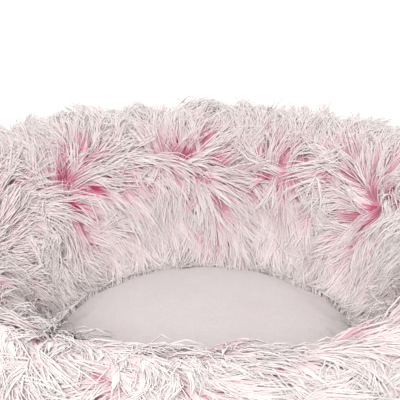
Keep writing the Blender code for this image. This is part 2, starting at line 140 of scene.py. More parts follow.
cameraData = bpy.data.cameras.new("bedCamera")
cameraData.lens = view["lens"]
camera = placed("bedCamera", cameraData)
tilt = math.radians(view["elevation"])
camera.location = (view["aim"][0], -view["distance"] * math.cos(tilt), view["distance"] * math.sin(tilt))
camera.rotation_euler = (Vector(view["aim"]) - camera.location).to_track_quat("-Z", "Y").to_euler()
bpy.context.scene.camera = camera
bpy.context.scene.view_settings.view_transform = "Standard"
print("camera set")


# studio: white all round, one soft lamp in front and above, a pale floor
studio = {"dome": 0.62, "lamp": 32.0, "lampSize": 0.6, "lampPlace": (-0.10, -1.98, 1.40), "lampAim": (0, 0, 0.1),
          "floor": (0.80, 0.80, 0.80, 1.0), "floorLift": 0.56, "floorRadius": 7.0}


def seenRays(build):
    # 1 for rays from the camera, or by way of metal or glass, and 0 for the rays that light things
    path = build.add("ShaderNodeLightPath")
    seen = build.math("MAXIMUM", path.outputs["Is Camera Ray"], path.outputs["Is Glossy Ray"])
    return build.math("MAXIMUM", seen, path.outputs["Is Transmission Ray"])


world = bpy.data.worlds.new("studioWhite")
bpy.context.scene.world = world
world.use_nodes = True
world.node_tree.nodes.clear()
build = Nodes(world.node_tree)
lighting = build.add("ShaderNodeBackground", [(1.0, 0.995, 0.99, 1.0), studio["dome"]])
backdrop = build.add("ShaderNodeBackground", [(1.0, 1.0, 1.0, 1.0), 1.0])
pick = build.add("ShaderNodeMixShader", [seenRays(build), lighting.outputs[0], backdrop.outputs[0]])
build.add("ShaderNodeOutputWorld", [pick.outputs[0]])

lampData = bpy.data.lights.new("frontSoftbox", "AREA")
lampData.energy = studio["lamp"]
lampData.size = studio["lampSize"]
lamp = placed("frontSoftbox", lampData)
lamp.location = studio["lampPlace"]
lamp.rotation_euler = (Vector(studio["lampAim"]) - lamp.location).to_track_quat("-Z", "Y").to_euler()

shape = bmesh.new()
bmesh.ops.create_circle(shape, cap_ends=True, segments=96, radius=studio["floorRadius"])
floorMesh = bpy.data.meshes.new("studioFloor")
shape.to_mesh(floorMesh)
shape.free()
studioFloor = placed("studioFloor", floorMesh)
floorPaint, build, shader = newMaterial("floorPaint")
build.fill(shader, {"Base Color": studio["floor"], "Roughness": 0.9})
strength = build.math("MULTIPLY", seenRays(build), studio["floorLift"])
lifted = build.add("ShaderNodeEmission", [(1.0, 1.0, 1.0, 1.0), strength])
both = build.add("ShaderNodeAddShader", [shader.outputs[0], lifted.outputs[0]])
build.give(floorPaint.node_tree.nodes["Material Output"].inputs["Surface"], both.outputs[0])
floorMesh.materials.append(floorPaint)
print("studio set")


# fur: the skin it grows from, how it is combed, its locks and its strands
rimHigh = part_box("fur_cover")[1]
fur = {
    "strands": 86000,
    "strandSectors": 12,
    "lockSectors": 6,
    "seed": 11,
    "rootDepth": 0.017,        # how far the skin lies inside the pressed pile
    "middle": 0.213,           # radius of the rim's centre line
    "widest": 0.088,           # height where the rim is widest
    "fullness": 2.4,           # 2 would be an oval section, and more is squarer
    "outerHem": (0.2625, 0.0312),
    "innerHem": (0.1470, 0.0125),
    "hemSweep": 55.0,          # degrees of the curve from the widest level down to a hem
    "length": 0.046,
    "width": 0.00053,          # half a strand's width near its root
    "lockSpacing": 0.0062,
    "tuftSpacing": 0.0185,
}
# how far the skin rises to follow the solid's clumps, and swells on the side of the well
swell = {"depth": 0.0095, "share": 0.85, "inner": 0.0105, "level": 0.092, "spread": 0.040,
         "probe": 0.03, "most": 0.022}
# how the pile is combed: its angles go round the rim's section, 90 at the crown and 180 facing the well
comb = {
    "centre": 0.090,
    "parting": 127.0,
    "partingSway": 15.0,
    "partingSwaySize": 0.16,
    "partingSpread": 38,
    "fromParting": 0.95,
    "sideSways": ((0.60, 0.14, 4), (0.42, 0.055, 5)),      # amount, size in metres and seed
    "overSway": (0.30, 0.07, 6),
    "turning": 0.55,           # how strongly the pile turns away from an opening
    "partingPink": 0.06,
    "zone": 0.023,             # how far from an opening pink locks are found among the pale ones
    "flattest": 0.24,
    "steepest": 0.80,
    "flattening": 0.42,        # the more one way the pile is combed, the flatter it lies
    "belts": ((0.34, 52, 30), (0.42, 182, 26), (0.65, 212, 22)),      # stands up more: amount, angle, width
    "leftBack": (0.28, 132, 22, 85, 30),      # and at one place: amount, azimuth, width, angle, width
    "front": (0.42, 105, 45),                 # lies flatter at the front: amount, angle, width
}
# where the pile opens along a short line: azimuth and section angle of its two ends, its reach in metres,
# how strongly the pile turns from it, and how pink it shows
openings = [
    (94, 113, 92, 156, 0.009, 1.0, 1.0),
    (88, 162, 85, 172, 0.009, 0.7, 0.6),
    (144, 134, 134, 143, 0.008, 0.35, 0.6),
    (128, 121, 116, 127, 0.008, 0.7, 0.5),
    (124, 143, 120, 148, 0.008, 0.6, 0.6),
    (160, 121, 150, 125, 0.008, 0.4, 0.55),
    (80, 122, 66, 124, 0.006, 0.3, 0.5),
    (118, 136, 114, 141, 0.005, 0.4, 0.9),
    (131, 130, 129, 137, 0.005, 0.5, 1.0),
    (137, 146, 133, 150, 0.005, 0.4, 0.9),
    (92, 140, 90, 147, 0.004, 0.3, 1.0),
    (72, 132, 70, 138, 0.005, 0.4, 0.8),
    (55, 134, 52, 140, 0.005, 0.4, 0.8),
    (46, 146, 43, 152, 0.004, 0.3, 0.7),
    (32, 142, 29, 150, 0.005, 0.2, 0.8),
    (50, 112, 36, 118, 0.007, 0.5, 0.45),
    (42, 130, 35, 139, 0.008, 0.3, 0.55),
    (26, 131, 20, 137, 0.007, 0.25, 0.5),
    (210, 124, 199, 131, 0.009, 0.7, 0.6),
    (242, 140, 232, 150, 0.008, 0.3, 0.6),
    (266, 140, 262, 160, 0.008, 0.3, 0.6),
    (296, 138, 287, 146, 0.008, 0.3, 0.6),
    (318, 132, 328, 141, 0.008, 0.4, 0.6),
    (352, 120, 343, 127, 0.008, 0.7, 0.6),
]
dice = np.random.default_rng(fur["seed"])


def unit(vectors):
    return vectors / np.maximum(np.linalg.norm(vectors, axis=-1, keepdims=True), 1e-9)


def waves(points, size, seed, count=7):
    # smooth noise from about -1 to 1, from crossing waves about this size
    own = np.random.default_rng(seed)
    total = np.zeros(len(points))
    for _ in range(count):
        direction = unit(own.normal(size=3)) * math.tau / (size * own.uniform(0.7, 1.5))
        total += np.sin(points @ direction + own.uniform(0, math.tau))
    return total / math.sqrt(count / 2) / 1.6


def rimSection(steps=26):
    # the skin's half section from the outer hem over the crown to the inner hem
    out, inn = rimHigh.x - fur["rootDepth"], 2 * fur["middle"] - rimHigh.x + fur["rootDepth"]
    crown, widest, middle = rimHigh.z - fur["rootDepth"], fur["widest"], fur["middle"]
    full, sweep = 2 / fur["fullness"], math.radians(fur["hemSweep"])
    points = []
    for (hemRadius, hemHeight), side in ((fur["outerHem"], out), (fur["innerHem"], inn)):
        half = []
        for at in range(steps, 0, -1):
            turn = sweep * at / steps
            inward = (1 - math.cos(turn)) / (1 - math.cos(sweep))
            down = math.sin(turn) / math.sin(sweep)
            half.append((side + (hemRadius - side) * inward, widest + (hemHeight - widest) * down))
        for at in range(steps):
            turn = math.pi / 2 * at / steps
            radius = middle + (side - middle) * math.cos(turn) ** full
            half.append((radius, widest + (crown - widest) * math.sin(turn) ** full))
        points.append(half)
    return np.array(points[0] + [(middle, crown)] + points[1][::-1])


section = rimSection()
along = np.concatenate([[0], np.cumsum(np.linalg.norm(np.diff(section, axis=0), axis=1))])
slope = unit(np.gradient(section, along, axis=0))
print("rim section", round(float(along[-1]), 4), "m long")


solid = nodes["fur_cover"].data
solidPile = bvhtree.BVHTree.FromPolygons(
    [vert.co[:] for vert in solid.vertices], [face.vertices[:] for face in solid.polygons])


def solidHeight(place, normal):
    # how far the solid's pile stands over the skin: it sinks between its clumps
    heights = []
    for point, out in zip(place, normal):
        hit = solidPile.ray_cast(Vector(point + out * swell["probe"]), Vector(-out))[3]
        heights.append(swell["probe"] - hit if hit is not None else 0.0)
    return np.clip(heights, 0.0, swell["most"])


def onSkin(azimuth, distance):
    # point, outward normal, the way over the crown towards the well, and the way round, for each root
    radius, height = (np.interp(distance, along, section[:, k]) for k in (0, 1))
    tangent = unit(np.stack([np.interp(distance, along, slope[:, k]) for k in (0, 1)], -1))
    ring = np.stack([np.cos(azimuth), np.sin(azimuth), np.zeros_like(azimuth)], -1)
    up = np.array([0.0, 0.0, 1.0])
    place = ring * radius[:, None] + up * height[:, None]
    over = ring * tangent[:, :1] + up * tangent[:, 1:]
    normal = -(ring * -tangent[:, 1:] + up * tangent[:, :1])
    normal *= np.sign(np.sum(normal * (place - ring * fur["middle"] - up * fur["widest"]), -1, keepdims=True))
    sideways = np.stack([-np.sin(azimuth), np.cos(azimuth), np.zeros_like(azimuth)], -1)
    rise = np.maximum(solidHeight(place, normal) - fur["rootDepth"] + swell["depth"], 0) * swell["share"]
    swelling = swell["inner"] * np.exp(-(((height - swell["level"]) / swell["spread"]) ** 2))
    rise += np.where(radius < fur["middle"], swelling, 0)
    return place + normal * rise[:, None], normal, over, sideways


def scattered(spacing):
    # azimuth and distance along the section of points about this far apart, one in each cell of a grid
    azimuths, distances = [], []
    for row in range(int(along[-1] / spacing)):
        distance = (row + 0.5) * spacing
        count = max(6, round(math.tau * float(np.interp(distance, along, section[:, 0])) / spacing))
        azimuths.append((np.arange(count) + dice.random(count)) * math.tau / count)
        distances.append(distance + (dice.random(count) - 0.5) * spacing)
    return np.concatenate(azimuths), np.clip(np.concatenate(distances), 0.0005, along[-1] - 0.0005)


def nearest(points, centres):
    tree = kdtree.KDTree(len(centres))
    for at, centre in enumerate(centres):
        tree.insert(centre, at)
    tree.balance()
    return np.array([tree.find(point)[1] for point in points])


def onRim(degrees, across, wide=0.064, high=0.078):
    # a point on the rim by its azimuth and its section angle
    theta, psi = math.radians(degrees), math.radians(across)
    radius = fur["middle"] + wide * math.cos(psi)
    return np.array([radius * math.cos(theta), radius * math.sin(theta), comb["centre"] + high * math.sin(psi)])


def frontShare(place):
    # 1 at the bed's front, 0 at its sides and back
    return np.clip(-place[..., 1] / np.hypot(place[..., 0], place[..., 1]) * 1.6 - 0.3, 0, 1)


def bell(values, centre, width):
    return np.exp(-(((values - centre) / width) ** 2))


def combing(place, over, sideways):
    # which way the pile leans along the skin, how far it stands up, and how much of its pink root shows
    angle = np.degrees(np.arctan2(place[:, 2] - comb["centre"], np.hypot(place[:, 0], place[:, 1]) - fur["middle"]))
    angle = np.where(angle < -90, angle + 360, angle)
    sway = comb["partingSway"] * waves(place * [1, 1, 0], comb["partingSwaySize"], 3)
    fromPart = (angle - comb["parting"] - sway) / comb["partingSpread"]
    lean = over * np.tanh(fromPart)[:, None] * comb["fromParting"]
    lean += sideways * sum(amount * waves(place, size, seed) for amount, size, seed in comb["sideSways"])[:, None]
    amount, size, seed = comb["overSway"]
    lean += over * (amount * waves(place, size, seed))[:, None]
    pink = comb["partingPink"] * np.exp(-(fromPart**2) / 0.8)
    zone = np.zeros(len(place))
    for startAzimuth, startAcross, endAzimuth, endAcross, reach, strength, colour in openings:
        start, end = onRim(startAzimuth, startAcross), onRim(endAzimuth, endAcross)
        run = end - start
        part = np.clip((place - start) @ run / (run @ run), 0, 1)
        away = place - start - part[:, None] * run
        gap = np.linalg.norm(away, axis=1) / reach
        turned = strength * comb["turning"] * np.minimum(gap, 1) * np.exp(-(gap**2) / 2.6)
        lean += unit(away) * turned[:, None]
        pink = np.maximum(pink, 1.15 * colour * np.exp(-(gap**2) / 0.45))
        zone = np.maximum(zone, colour * bell(gap * reach, 0, comb["zone"]))
    size = np.linalg.norm(lean, axis=1)
    stand = np.clip(comb["steepest"] - comb["flattening"] * size, comb["flattest"], comb["steepest"])
    for amount, centre, width in comb["belts"]:
        stand += amount * bell(angle, centre, width)
    amount, azimuth, azimuthWidth, centre, width = comb["leftBack"]
    azimuths = np.degrees(np.arctan2(place[:, 1], place[:, 0]))
    stand += amount * bell(azimuths, azimuth, azimuthWidth) * bell(angle, centre, width)
    amount, centre, width = comb["front"]
    stand -= amount * frontShare(place) * bell(angle, centre, width)
    return lean / np.maximum(size, 1e-6)[:, None], stand, pink, zone, angle


def turnedBy(lean, normal, angle):
    # a direction on the skin turned about its normal
    return lean * np.cos(angle)[:, None] + np.cross(normal, lean) * np.sin(angle)[:, None]


def grown(place, normal, lean, stand, length, droop, bend, parts=3):
    # a path from each root that rises less and droops more towards its tip
    path = [place]
    for at in range(parts):
        share = (at + 0.5) / parts
        rise = stand * (1.15 - 0.85 * share)
        step = turnedBy(lean, normal, bend * share) * np.cos(rise)[:, None] + normal * np.sin(rise)[:, None]
        step[:, 2] -= droop * share**1.3
        path.append(path[-1] + unit(step) * (length / parts)[:, None])
    return np.stack(path, 1)


# a tuft is a few dozen locks that share a turn, a stand and a length
tuft = {"turn": 0.30, "stand": 0.10, "length": (0.86, 1.12), "bend": 0.35}
tuftAzimuth, tuftDistance = scattered(fur["tuftSpacing"])
tuftPlace = onSkin(tuftAzimuth, tuftDistance)[0]
tuftCount = len(tuftPlace)
tuftTurn = dice.normal(0, tuft["turn"], tuftCount)
tuftStand = dice.normal(0, tuft["stand"], tuftCount)
tuftLength = dice.uniform(*tuft["length"], tuftCount)

lock = {
    "turn": 0.30, "stand": 0.07, "length": (0.86, 1.1), "bend": 0.30,
    "clumpStand": 0.24, "clumpHigh": (0.002, 0.0085),      # stands up more where the solid's clumps are high
    "sunken": 0.33,            # the share of locks that, round the openings, are short and show their pink
    "sunkenPink": (0.8, 1.3), "otherPink": (0.1, 0.5), "sunkenShorter": 0.28,
    "hems": (0.030, 0.035),    # how far from the outer and the inner hem the pile reaches its full length
    "hemLength": 0.45,
    "droop": 0.50, "wellDroop": 0.40, "leastDroop": 0.20,      # past 150 degrees, facing the well, it droops less
}
lockAzimuth, lockDistance = scattered(fur["lockSpacing"])
lockPlace, lockNormal, lockOver, lockSide = onSkin(lockAzimuth, lockDistance)
lockCount = len(lockPlace)
ofTuft = nearest(lockPlace, tuftPlace)
lockLean, lockStand, lockPink, lockZone, lockAngle = combing(lockPlace, lockOver, lockSide)
clump = (solidHeight(lockPlace, lockNormal) - lock["clumpHigh"][0]) / lock["clumpHigh"][1]
parted = np.clip(lockPink / 0.5, 0, 1)
sunken = dice.random(lockCount) < lock["sunken"]
sunkenPink = lockZone * dice.uniform(*lock["sunkenPink"], lockCount)
lockPink = np.where(sunken, sunkenPink, lockPink * dice.uniform(*lock["otherPink"], lockCount))
lockTurn = tuftTurn[ofTuft] + dice.normal(0, lock["turn"], lockCount)
lockLean = unit(turnedBy(lockLean, lockNormal, lockTurn))
lockStand = lockStand + tuftStand[ofTuft] + dice.normal(0, lock["stand"], lockCount)
lockStand += lock["clumpStand"] * (np.clip(clump, 0, 1) - 0.5)
fromHems = np.minimum(lockDistance / lock["hems"][0], (along[-1] - lockDistance) / lock["hems"][1])
hemLength = lock["hemLength"] + (1 - lock["hemLength"]) * np.clip(fromHems, 0, 1)
lockLength = fur["length"] * tuftLength[ofTuft] * dice.uniform(*lock["length"], lockCount) * hemLength
lockLength *= np.where(sunken, 1 - lock["sunkenShorter"] * np.clip(lockPink, 0, 1), 1)
lessDroop = np.where(lockAngle > 150, lock["wellDroop"], 1.0)
lockDroop = lock["droop"] * np.abs(np.cos(np.radians(lockAngle))) * lessDroop + lock["leastDroop"]
lockBend = dice.normal(0, tuft["bend"], tuftCount)[ofTuft] + dice.normal(0, lock["bend"], lockCount)
lockPath = grown(lockPlace, lockNormal, lockLean, lockStand, lockLength, lockDroop, lockBend)
print("locks", lockCount, "tufts", tuftCount)

# each strand grows as its lock does, and is gathered towards it: how much at each of its three joints, and how
# far it strays there
strand = {"turn": 0.18, "stand": 0.07, "length": (0.62, 1.06), "gathered": (0.46, 0.20), "gatheredOwn": 0.08,
          "pull": (0.26, 0.58, 0.84), "stray": (0.0004, 0.0009, 0.0014), "wide": (0.9, 1.0, 0.74), "sides": 3,
          "flat": 1.0, "sideShading": 1.0, "softness": 0.54}      # softness: its shading follows the pile's surface
spacing = math.sqrt(float(np.sum(math.tau * section[1:, 0] * np.diff(along))) / fur["strands"])
azimuth, distance = scattered(spacing)
place, normal, over, sideways = onSkin(azimuth, distance)
count = len(place)
ofLock = nearest(place, lockPlace)
lean = unit(turnedBy(lockLean[ofLock], normal, dice.normal(0, strand["turn"], count)))
lean = unit(lean - normal * np.sum(lean * normal, 1, keepdims=True))
stand = lockStand[ofLock] + dice.normal(0, strand["stand"], count)
ratio = dice.uniform(*strand["length"], count) ** 0.8
path = grown(place, normal, lean, stand, lockLength[ofLock] * ratio, lockDroop[ofLock], lockBend[ofLock])
gather = dice.normal(*strand["gathered"], lockCount)[ofLock] + dice.normal(0, strand["gatheredOwn"], count)
gather = np.clip(gather, 0.05, 0.97)
for at, (pull, stray) in enumerate(zip(strand["pull"], strand["stray"]), 1):
    reached = ratio * at
    low = np.minimum(reached.astype(int), 2)
    part = (reached - low)[:, None]
    centre = lockPath[ofLock, low] * (1 - part) + lockPath[ofLock, low + 1] * part
    path[:, at] += (centre - path[:, at]) * (pull * gather)[:, None]
    path[:, at] += dice.normal(0, stray, (count, 3))
print("strands", count)


keep = {
    "wide": 0.300, "wideSoft": 0.0150,          # past this radius the tips are drawn in softly
    "high": 0.184, "highSoft": 0.0120, "frontLower": 0.016,
    "cushion": 0.1262, "cushionLow": 0.0560, "cushionRise": 0.0385, "cushionFullness": 2.4,
    "besideCushion": (0.026, 0.1460),           # tips above this height and within this radius lie on its edge
    "underCushion": (0.0553, 0.1270),           # below this height no tip comes further in than this radius
    "overCushion": 0.05,                        # above this height, tips inside the cushion come out on its top
    "lift": 0.006,
    "zip": (0.255, 0.0225),                     # past this radius, tips over the zip stay above this height
    "wellFloor": (0.150, 0.0135), "floor": 0.0015,
}


def softly(values, limit, soft):
    return np.where(values > limit, limit + soft * np.tanh((values - limit) / soft), values)


def keepInside(path, count):
    # the pile keeps inside the bed's size, off the floor and the zip, and lies on the cushion
    radius = np.hypot(path[..., 0], path[..., 1])
    wide = softly(radius, keep["wide"], keep["wideSoft"])
    height, full = path[..., 2], keep["cushionFullness"]
    dome = np.clip(1 - np.clip(radius / keep["cushion"], 0, 1) ** full, 0, 1) ** (1 / full)
    top = keep["cushionLow"] + keep["cushionRise"] * dome
    over = (radius < keep["cushion"]) & (height > keep["overCushion"]) & (height < top)
    height = np.where(over, top, height)
    lift = dice.uniform(0, keep["lift"], count)[:, None]
    lowest, widest = keep["besideCushion"]
    wedged = (height < keep["cushionLow"]) & (height > lowest) & (radius < widest)
    height = np.where(wedged, keep["cushionLow"] + lift, height)
    below, closest = keep["underCushion"]
    wide = np.where((height < below) & (wide < closest), closest, wide)
    path[..., :2] *= (wide / np.maximum(radius, 1e-6))[..., None]
    height = softly(height, keep["high"] - keep["frontLower"] * frontShare(path), keep["highSoft"])
    zipRadius, zipHeight = keep["zip"]
    overZip = (path[..., 1] > 0.5 * radius) & (wide > zipRadius)
    ground = np.where(overZip, zipHeight + lift, keep["floor"])
    ground = np.where(wide < keep["wellFloor"][0], keep["wellFloor"][1], ground) + 0.6 * lift
    path[..., 2] = np.maximum(height, ground)


keepInside(path, count)

# each lock has a soft body, a flattened taper that its strands lie on: its rings by their share of the length
body = {"rings": (0.0, 0.25, 0.54, 0.82), "wide": (0.90, 1.05, 0.78, 0.30), "sides": 4, "size": 0.0022, "flat": 0.40,
        "length": 0.82, "sunk": 0.48, "openingThinner": 0.70, "softness": 1.0, "sideShading": 0.5}
ringShares, sides = body["rings"] + (1.0,), body["sides"]
ringPlace = []
for share in ringShares:
    low = min(int(share * 3), 2)
    part = share * 3 - low
    ringPlace.append(lockPath[:, low] * (1 - part) + lockPath[:, low + 1] * part)
ringPlace = np.stack(ringPlace, 1)
ringPlace = lockPlace[:, None] + (ringPlace - lockPlace[:, None]) * body["length"]
risen = np.sum((ringPlace - lockPlace[:, None]) * lockNormal[:, None], -1, keepdims=True)
ringPlace -= risen * lockNormal[:, None] * body["sunk"]
keepInside(ringPlace, lockCount)
ringTangent = unit(np.gradient(ringPlace, axis=1))
ringSide = unit(np.cross(lockNormal[:, None] + 1e-6, ringTangent))
ringUp = np.cross(ringTangent, ringSide)
bodySize = body["size"] * dice.uniform(0.8, 1.2, lockCount) * (1 - body["openingThinner"] * parted)


def tapers(path, side, up, size, lift, sizes):
    # corners and shading directions of many tapers: rings of corners along their paths, and a tip each
    corners, facing = [], []
    for at, share in enumerate(sizes["wide"]):
        for corner in range(sizes["sides"]):
            turn = math.tau * corner / sizes["sides"]
            offset = side[:, at] * math.cos(turn) + up[:, at] * (sizes["flat"] * math.sin(turn))
            corners.append(path[:, at] + offset * (size * share)[:, None])
            out = side[:, at] * (sizes["sideShading"] * math.cos(turn)) + up[:, at] * math.sin(turn)
            facing.append(unit(out + lift[:, at] * sizes["softness"]))
    return np.stack(corners + [path[:, -1]], 1), np.stack(facing + [lift[:, -1]], 1)


def taperFaces(rings, sides):
    # the faces of a closed taper: quads between its rings, triangles to its tip, and a cap at its root
    quads = [(ring * sides + at, ring * sides + (at + 1) % sides, (ring + 1) * sides + (at + 1) % sides,
              (ring + 1) * sides + at) for ring in range(rings - 1) for at in range(sides)]
    last = (rings - 1) * sides
    tips = [(last + at, last + (at + 1) % sides, last + sides) for at in range(sides)]
    return quads + tips + [tuple(range(sides - 1, -1, -1))]


bodyCorners, bodyFacing = tapers(ringPlace, ringSide, ringUp, bodySize, ringUp, body)
bodyFaces = taperFaces(len(body["wide"]), sides)
bodyV = np.array([ringShares[corner // sides] for face in bodyFaces for corner in face])
bodyLoopSide = np.array([at / sides for face in bodyFaces for at in range(len(face))])

# each strand is a closed three-sided taper: three rings and a tip
tangent = unit(np.gradient(path, axis=1))
side = unit(np.cross(tangent, unit(dice.normal(size=(count, 1, 3)))))
upright = np.cross(tangent, side)
thick = fur["width"] * dice.uniform(0.75, 1.2, count)
lift = unit(normal[:, None] - tangent * 0.85 * np.sum(normal[:, None] * tangent, -1, keepdims=True))
corners, facing = tapers(path, side, upright, thick, lift, strand)
faces = taperFaces(3, 3)
loopV = np.array([corner // 3 / 3 for face in faces for corner in face])
loopSide = np.array([(at % 3 + (k not in (0, 3))) / 3 for at, face in enumerate(faces) for k in range(len(face))])
loopV[-3:] = (0.0, 0.03, 0.0)      # the cap has an area of its own on the map

tones = {"lock": (0.05, 8), "fine": (0.012, 9), "change": 0.07, "each": 0.05, "least": 0.02, "most": 0.95}
tone = lockPink[ofLock] + tones["change"] * waves(place, *tones["lock"])
tone += tones["change"] * waves(place, *tones["fine"]) + dice.normal(0, tones["each"], count)
tone = np.clip(tones["least"] + tone, tones["least"], tones["most"])


def furMaterial():
    # pink at the root, frosted white from halfway; tone 0 is the palest lock and 1 the pinkest
    made, build, shader = newMaterial("frostedPile")
    uv = build.add("ShaderNodeUVMap", uv_map="OFBake")
    parts = build.add("ShaderNodeSeparateXYZ", [uv.outputs[0]])
    ramps = []
    for stops in (
        ((0.0, (246, 224, 229)), (0.20, (249, 235, 236)), (0.45, (251, 243, 242)), (1.0, (252, 247, 245))),
        ((0.0, (196, 34, 92)), (0.22, (205, 60, 112)), (0.40, (234, 150, 180)), (0.62, (248, 222, 231)),
         (1.0, (252, 243, 245))),
    ):
        ramp = build.add("ShaderNodeValToRGB", [parts.outputs["Y"]])
        elements = ramp.color_ramp.elements
        for element, (position, colour) in zip(elements, (stops[0], stops[-1])):
            element.position, element.color = position, srgb(*colour)
        for position, colour in stops[1:-1]:
            elements.new(position).color = srgb(*colour)
        ramps.append(ramp.outputs[0])
    build.fill(shader, {
        "Base Color": build.blend(parts.outputs["X"], *ramps), "Roughness": 0.62, "Diffuse Roughness": 1.0,
        "Specular IOR Level": 0.25, "Sheen Weight": 0.3, "Sheen Roughness": 0.5,
    })
    return made


pileMaterial = furMaterial()


def pileMesh(name, corners, facing, faces, loopV, loopSide, tone):
    # many small tapers as one mesh: the map holds each one's tone and the way from its root to its tip
    n, per = len(corners), corners.shape[1]
    loops = np.array([corner for face in faces for corner in face])
    sizes = [len(face) for face in faces]
    mesh = bpy.data.meshes.new(name)
    mesh.vertices.add(per * n)
    mesh.vertices.foreach_set("co", corners.astype(np.float32).ravel())
    mesh.loops.add(len(loops) * n)
    mesh.loops.foreach_set("vertex_index", (loops[None] + per * np.arange(n)[:, None]).astype(np.int32).ravel())
    mesh.polygons.add(len(faces) * n)
    starts = np.concatenate([[0], np.cumsum(sizes)[:-1]])
    starts = starts[None] + len(loops) * np.arange(n)[:, None]
    mesh.polygons.foreach_set("loop_start", starts.astype(np.int32).ravel())
    layer = mesh.uv_layers.new(name="OFBake")
    u = np.clip(tone[:, None] + 0.02 * loopSide[None], 0, 1)
    v = np.broadcast_to(loopV[None], u.shape)
    layer.data.foreach_set("uv", np.stack([u, v], -1).astype(np.float32).ravel())
    mesh.update(calc_edges=True)
    mesh.validate()
    shading = mesh.attributes.new("custom_normal", "FLOAT_VECTOR", "POINT")
    shading.data.foreach_set("vector", facing.astype(np.float32).ravel())
    riding(mesh, pileMaterial, "bed", ["fur_cover"])


lockTone = tones["least"] + lockPink + tones["change"] * waves(lockPlace, *tones["lock"])
lockTone = np.clip(lockTone, tones["least"], tones["most"])
sector = (azimuth / math.tau * fur["strandSectors"]).astype(int) % fur["strandSectors"]
lockSector = (lockAzimuth / math.tau * fur["lockSectors"]).astype(int) % fur["lockSectors"]
for number in range(fur["strandSectors"]):
    part = sector == number
    pileMesh(f"furPile{number + 1:02d}", corners[part], facing[part], faces, loopV, loopSide, tone[part])
for number in range(fur["lockSectors"]):
    part = lockSector == number
    pileMesh(f"furLocks{number + 1:02d}", bodyCorners[part], bodyFacing[part], bodyFaces, bodyV, bodyLoopSide,
             lockTone[part])
strandTriangles, bodyTriangles = (sum(len(face) - 2 for face in each) for each in (faces, bodyFaces))
print("pile made,", strandTriangles * count + bodyTriangles * lockCount, "triangles")


def finished(name, shape, material, body, slot, *replaced):
    # a shape as a smooth closed piece
    mesh = bpy.data.meshes.new(name)
    bmesh.ops.remove_doubles(shape, verts=shape.verts, dist=0.00002)
    bmesh.ops.recalc_face_normals(shape, faces=shape.faces)
    shape.to_mesh(mesh)
    shape.free()
    mesh.shade_smooth()
    return riding(mesh, material, body, replaced)


def spun(points, steps, closed):
    # a section of (radius, height) points turned all the way round
    shape = bmesh.new()
    rings = [shape.verts.new((radius, 0.0, height)) for radius, height in points]
    edges = [shape.edges.new(pair) for pair in zip(rings, rings[1:])]
    if closed:
        edges.append(shape.edges.new((rings[-1], rings[0])))
    bmesh.ops.spin(shape, geom=rings + edges, cent=(0, 0, 0), axis=(0, 0, 1), angle=math.tau, steps=steps,
                   use_merge=True)
    return shape


def strip(radius, low, high, start, end, cloth, ripple, seed, rows=8):
    # a band of cloth on an arc, closed all round, that puckers in the middle and lies flat at its two seams
    shape = bmesh.new()
    levels = [low + (high - low) * at / rows for at in range(rows + 1)]
    points = [(radius, level) for level in levels] + [(radius - cloth, level) for level in levels[::-1]]
    ring = [shape.verts.new((r * math.cos(start), r * math.sin(start), z)) for r, z in points]
    edges = [shape.edges.new((ring[at], ring[(at + 1) % len(ring)])) for at in range(len(ring))]
    steps = max(24, round(abs(end - start) * radius / 0.0045))
    bmesh.ops.spin(shape, geom=ring + edges, cent=(0, 0, 0), axis=(0, 0, 1), angle=end - start, steps=steps)
    bmesh.ops.holes_fill(shape, edges=[edge for edge in shape.edges if edge.is_boundary], sides=0)
    places = np.array([vert.co[:] for vert in shape.verts])
    push = waves(places * [1, 1, 0.25], 0.030, seed) * 0.6 + waves(places * [1, 1, 0.1], 0.011, seed + 1) * 0.4
    for vert, amount in zip(shape.verts, push):
        share = math.sin(math.pi * min(max((vert.co.z - low) / (high - low), 0), 1))
        away = math.hypot(vert.co.x, vert.co.y)
        scale = 1 + ripple * share * float(amount) / away
        vert.co.x *= scale
        vert.co.y *= scale
    return shape


def copies(name, shape, placements, material, body, slot, *replaced):
    # one small shape set down at many places, as one mesh
    shape.verts.index_update()
    points = np.array([vert.co[:] for vert in shape.verts])
    faces = [tuple(vert.index for vert in face.verts) for face in shape.faces]
    shape.free()
    places = np.concatenate([points @ turn.T + shift for turn, shift in placements])
    mesh = bpy.data.meshes.new(name)
    every = [tuple(corner + len(points) * at for corner in face) for at in range(len(placements)) for face in faces]
    mesh.from_pydata(places, [], every)
    mesh.shade_smooth()
    riding(mesh, material, body, replaced)


def turnedAbout(angle):
    return np.array([[math.cos(angle), -math.sin(angle), 0], [math.sin(angle), math.cos(angle), 0], [0, 0, 1]])


# materials
def group(name, inputs, outputs):
    made = bpy.data.node_groups.new(name, "ShaderNodeTree")
    for socketName, kind in inputs:
        made.interface.new_socket(socketName, in_out="INPUT", socket_type=kind)
    for socketName, kind in outputs:
        made.interface.new_socket(socketName, in_out="OUTPUT", socket_type=kind)
    build = Nodes(made)
    return made, build, build.add("NodeGroupInput"), build.add("NodeGroupOutput")


# place on a round wall, as metres along it and up it
roundAbout, build, given, put = group(
    "roundAbout", (("Place", "NodeSocketVector"), ("Radius", "NodeSocketFloat")), (("Flat", "NodeSocketVector"),))
apart = build.add("ShaderNodeSeparateXYZ", [given.outputs["Place"]])
turn = build.math("ARCTAN2", apart.outputs["Y"], apart.outputs["X"])
distanceRound = build.math("MULTIPLY", turn, given.outputs["Radius"])
flat = build.add("ShaderNodeCombineXYZ", [distanceRound, apart.outputs["Z"], 0.0])
build.give(put.inputs["Flat"], flat.outputs[0])

